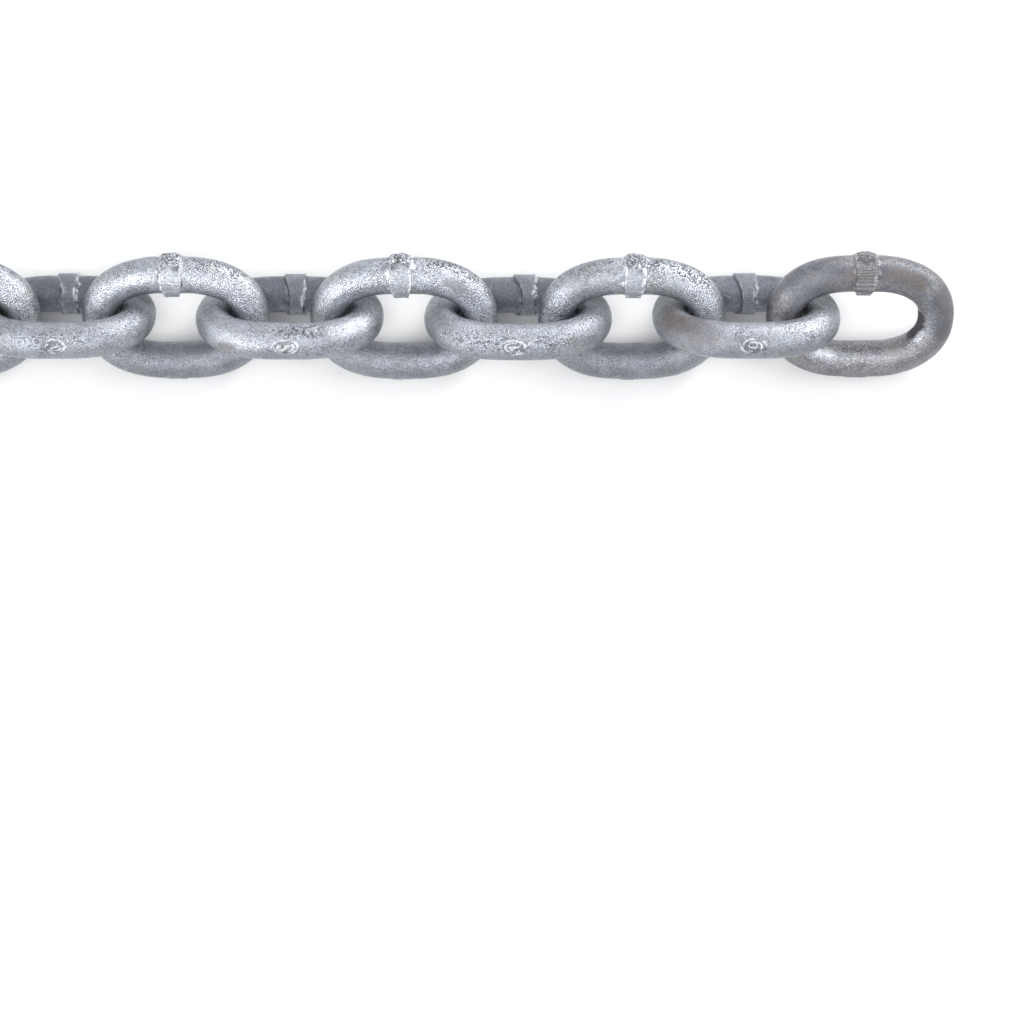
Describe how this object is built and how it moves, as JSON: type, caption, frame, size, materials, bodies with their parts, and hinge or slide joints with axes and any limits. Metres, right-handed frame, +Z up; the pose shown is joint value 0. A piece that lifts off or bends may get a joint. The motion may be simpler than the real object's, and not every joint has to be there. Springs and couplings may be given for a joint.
{
  "type": "straight length of anchor chain",
  "caption": "Straight length of galvanised welded short-link anchor chain, for tying an anchor to its rode; each oval link hooks through its neighbour and swings on it.",
  "frame": {"origin": "on the floor, under the middle of the chain", "axes": "+X along the chain, from link_01 to link_10, and +Z up"},
  "size_m": [0.33, 0.03, 0.0293],
  "materials": {
    "bright_zinc": "hot-dip galvanised, mottled, half bright",
    "dull_zinc": "hot-dip galvanised, weathered grey with a little rust bloom"
  },
  "bodies": {
    "link_01": {"link_01": "bright_zinc"},
    "link_02": {"link_02": "bright_zinc"},
    "link_03": {"link_03": "bright_zinc"},
    "link_04": {"link_04": "bright_zinc"},
    "link_05": {"link_05": "bright_zinc"},
    "link_06": {"link_06": "bright_zinc"},
    "link_07": {"link_07": "bright_zinc"},
    "link_08": {"link_08": "bright_zinc"},
    "link_09": {"link_09": "bright_zinc"},
    "link_10": {"link_10": "dull_zinc"}
  },
  "joints": [
    {"name": "link_02_swing", "type": "hinge", "parent": "link_01", "child": "link_02", "pos_m": [-0.12915, -0.00035, 0.01427], "axis": [0, -0.7071, -0.7071], "range_deg": [-45, 45]},
    {"name": "link_03_swing", "type": "hinge", "parent": "link_02", "child": "link_03", "pos_m": [-0.09815, -0.00035, 0.01506], "axis": [0, -0.7071, 0.7071], "range_deg": [-45, 45]},
    {"name": "link_04_swing", "type": "hinge", "parent": "link_03", "child": "link_04", "pos_m": [-0.06715, -0.00045, 0.01427], "axis": [0, -0.7071, -0.7071], "range_deg": [-45, 45]},
    {"name": "link_05_swing", "type": "hinge", "parent": "link_04", "child": "link_05", "pos_m": [-0.03615, -0.00055, 0.01506], "axis": [0, -0.7071, 0.7071], "range_deg": [-45, 45]},
    {"name": "link_06_swing", "type": "hinge", "parent": "link_05", "child": "link_06", "pos_m": [-0.00515, -0.00065, 0.01427], "axis": [0, -0.7071, -0.7071], "range_deg": [-45, 45]},
    {"name": "link_07_swing", "type": "hinge", "parent": "link_06", "child": "link_07", "pos_m": [0.02585, -0.00075, 0.01506], "axis": [0, -0.7071, 0.7071], "range_deg": [-45, 45]},
    {"name": "link_08_swing", "type": "hinge", "parent": "link_07", "child": "link_08", "pos_m": [0.05685, -0.00075, 0.01427], "axis": [0, -0.7071, -0.7071], "range_deg": [-45, 45]},
    {"name": "link_09_swing", "type": "hinge", "parent": "link_08", "child": "link_09", "pos_m": [0.08785, -0.00035, 0.01506], "axis": [0, -0.7071, 0.7071], "range_deg": [-45, 45]},
    {"name": "link_10_swing", "type": "hinge", "parent": "link_09", "child": "link_10", "pos_m": [0.11885, -0.00005, 0.01427], "axis": [0, -0.7071, -0.7071], "range_deg": [-45, 45]}
  ]
}
